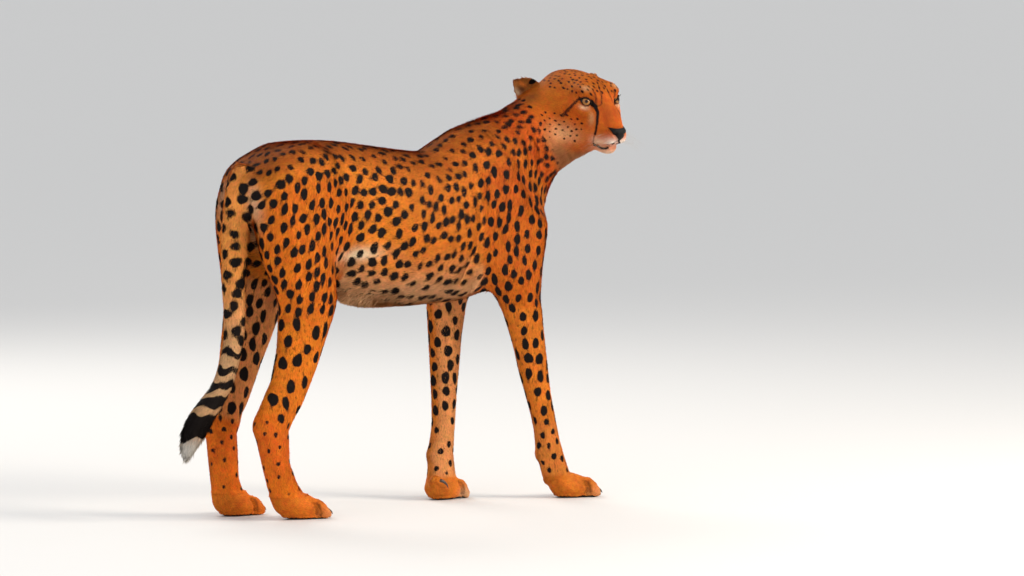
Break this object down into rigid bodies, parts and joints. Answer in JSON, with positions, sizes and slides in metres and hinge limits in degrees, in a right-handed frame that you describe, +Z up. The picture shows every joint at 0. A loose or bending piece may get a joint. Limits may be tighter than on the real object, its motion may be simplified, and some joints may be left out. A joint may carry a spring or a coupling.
{
  "type": "cheetah, standing",
  "caption": "Standing adult cheetah with spotted short coat, head turned to its right, tail hanging, all feet on the floor.",
  "frame": {"origin": "middle of the bounding box, on the floor that the four feet stand on", "axes": "+X towards the breast, +Y to the animal's left, +Z up"},
  "size_m": [1.0854, 0.2878, 0.8694],
  "materials": {
    "coat": "short tawny fur with near-black spots",
    "pale_coat": "short cream fur",
    "nose": "bare black skin, slightly moist",
    "eye": "amber iris under a clear wet cornea",
    "claw": "dark horn"
  },
  "bodies": {
    "root": {"claw_fore_left_1": "claw", "claw_fore_left_2": "claw", "claw_fore_left_3": "claw", "claw_fore_left_4": "claw", "claw_fore_left_5": "claw", "claw_fore_right_1": "claw", "claw_fore_right_2": "claw", "claw_fore_right_3": "claw", "claw_fore_right_4": "claw", "claw_fore_right_5": "claw", "claw_hind_left_1": "claw", "claw_hind_left_2": "claw", "claw_hind_left_3": "claw", "claw_hind_left_4": "claw", "claw_hind_right_1": "claw", "claw_hind_right_2": "claw", "claw_hind_right_3": "claw", "claw_hind_right_4": "claw", "ear_left": "coat", "ear_right": "coat", "eye_left": "eye", "eye_right": "eye", "forearm_fore_left": "coat", "forearm_fore_right": "coat", "head": "coat", "hock_hind_left": "coat", "hock_hind_right": "coat", "jaw": "pale_coat", "neck": "coat", "nose": "nose", "paw_fore_left": "coat", "paw_fore_right": "coat", "paw_hind_left": "coat", "paw_hind_right": "coat", "shank_hind_left": "coat", "shank_hind_right": "coat", "shoulder_fore_left": "coat", "shoulder_fore_right": "coat", "tail_1": "coat", "tail_2": "coat", "tail_3": "coat", "thigh_hind_left": "coat", "thigh_hind_right": "coat", "trunk": "coat", "wrist_fore_left": "coat", "wrist_fore_right": "coat"}
  },
  "joints": []
}
